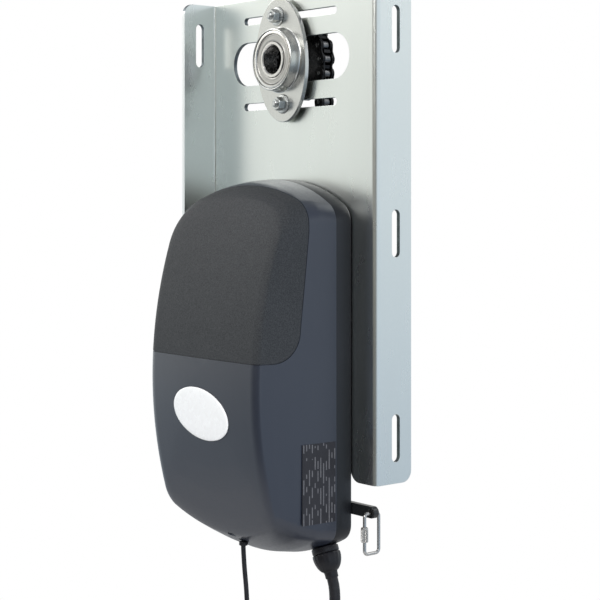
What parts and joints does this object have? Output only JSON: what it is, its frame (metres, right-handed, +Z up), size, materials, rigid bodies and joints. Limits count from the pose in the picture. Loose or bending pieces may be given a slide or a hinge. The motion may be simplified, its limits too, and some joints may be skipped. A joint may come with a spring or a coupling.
{
  "type": "gearmotor",
  "caption": "Side-mounted chain-drive gearmotor in a rounded two-part housing on a Z-shaped steel bracket with a flange bearing, release lever, mains lead and aerial.",
  "frame": {"origin": "middle of the bracket's six fixing slots, on the front face of its web", "axes": "+X to the right along the web, +Y to the rear where the chain runs, +Z up along the bracket"},
  "size_m": [0.2343, 0.1417, 0.6793],
  "materials": {
    "zinc_plate": "zinc-plated sheet steel, satin",
    "ground_steel": "bright turned and ground steel",
    "oiled_black": "blackened steel with a film of oil",
    "anthracite_plastic": "satin moulded ABS",
    "textured_panel": "finely textured matt ABS",
    "black_plastic": "moulded black plastic",
    "black_steel": "black powder-coated steel",
    "badge_white": "white domed badge, blank",
    "label_black": "black foil label, blank",
    "cast_alloy": "die-cast aluminium",
    "bronze_wheel": "machined bronze",
    "winding_copper": "lacquered copper windings on laminations",
    "board_green": "green solder resist",
    "black_rubber": "black moulded rubber",
    "cable_black": "black cable sheath"
  },
  "bodies": {
    "root": {"bracket": "zinc_plate", "flange_plate": "zinc_plate", "bearing_outer_ring": "ground_steel", "bearing_shield": "ground_steel", "flange_bolt_1": "zinc_plate", "flange_bolt_2": "zinc_plate", "flange_nut_1": "zinc_plate", "flange_nut_2": "zinc_plate", "flange_washer_1": "zinc_plate", "flange_washer_2": "zinc_plate", "flange_spacer_1": "zinc_plate", "flange_spacer_2": "zinc_plate", "drive_chain": "oiled_black", "gearbox_case": "cast_alloy", "gearbox_cover": "cast_alloy", "motor_can": "ground_steel", "motor_end_cap": "black_plastic", "front_cover": "anthracite_plastic", "inset_panel": "textured_panel", "base_shell": "anthracite_plastic", "mount_plate": "black_steel", "mount_bolt_1": "zinc_plate", "mount_bolt_2": "zinc_plate", "mount_bolt_3": "zinc_plate", "mount_bolt_4": "zinc_plate", "badge": "badge_white", "rating_label": "label_black", "control_board": "board_green", "transformer": "winding_copper", "terminal_block": "black_plastic", "relay_block": "black_plastic", "lever_pivot": "zinc_plate", "cable_gland": "black_plastic", "strain_relief": "black_rubber", "power_cable": "cable_black", "power_coil": "cable_black", "cable_tie": "black_plastic", "power_tail": "cable_black", "power_plug": "black_plastic", "aerial_grommet": "black_rubber", "aerial_lead": "cable_black"},
    "output_drive": {"output_sprocket": "oiled_black", "output_shaft": "ground_steel", "output_key": "ground_steel", "shaft_end_washer": "zinc_plate", "shaft_end_screw": "zinc_plate", "worm_wheel": "bronze_wheel"},
    "door_drive": {"door_sprocket": "oiled_black", "hub_screw": "ground_steel", "bearing_inner_ring": "ground_steel"},
    "bearing_balls": {"bearing_cage": "ground_steel"},
    "motor_shaft": {"worm_shaft": "ground_steel", "motor_rotor": "winding_copper"},
    "release_lever": {"release_lever": "black_steel"},
    "quick_link": {"quick_link": "ground_steel"},
    "link_sleeve": {"link_sleeve": "ground_steel"}
  },
  "joints": [
    {"name": "output_spin", "type": "hinge", "parent": "root", "child": "output_drive", "pos_m": [-0.003, 0.0175, -0.09987], "axis": [0, 1, 0], "continuous": true, "deforming": ["drive_chain"]},
    {"name": "door_shaft_spin", "type": "hinge", "parent": "root", "child": "door_drive", "pos_m": [-0.003, 0.0175, 0.154], "axis": [0, 1, 0], "continuous": true},
    {"name": "bearing_balls_spin", "type": "hinge", "parent": "root", "child": "bearing_balls", "pos_m": [-0.003, -0.01, 0.154], "axis": [0, 1, 0], "continuous": true},
    {"name": "motor_spin", "type": "hinge", "parent": "root", "child": "motor_shaft", "pos_m": [0.037, -0.037, -0.09987], "axis": [0, 0, 1], "continuous": true},
    {"name": "release_lever_pull", "type": "hinge", "parent": "root", "child": "release_lever", "pos_m": [0.022, 0.0033, -0.236], "axis": [0, 1, 0], "range_deg": [0, 18], "stiffness_Nm_per_rad": 0.3, "springref_deg": -17.19},
    {"name": "quick_link_swing", "type": "hinge", "parent": "release_lever", "child": "quick_link", "pos_m": [0.1085, 0.0033, -0.236], "axis": [0, 1, 0], "range_deg": [-60, 25]},
    {"name": "link_sleeve_travel", "type": "slide", "parent": "quick_link", "child": "link_sleeve", "axis": [0, 0, -1], "range_m": [0, 0.0075]}
  ],
  "couplings": [
    {"joint": "door_shaft_spin", "follows": "output_spin", "ratio": 0.75},
    {"joint": "bearing_balls_spin", "follows": "output_spin", "ratio": 0.3},
    {"joint": "motor_spin", "follows": "output_spin", "ratio": 30}
  ]
}
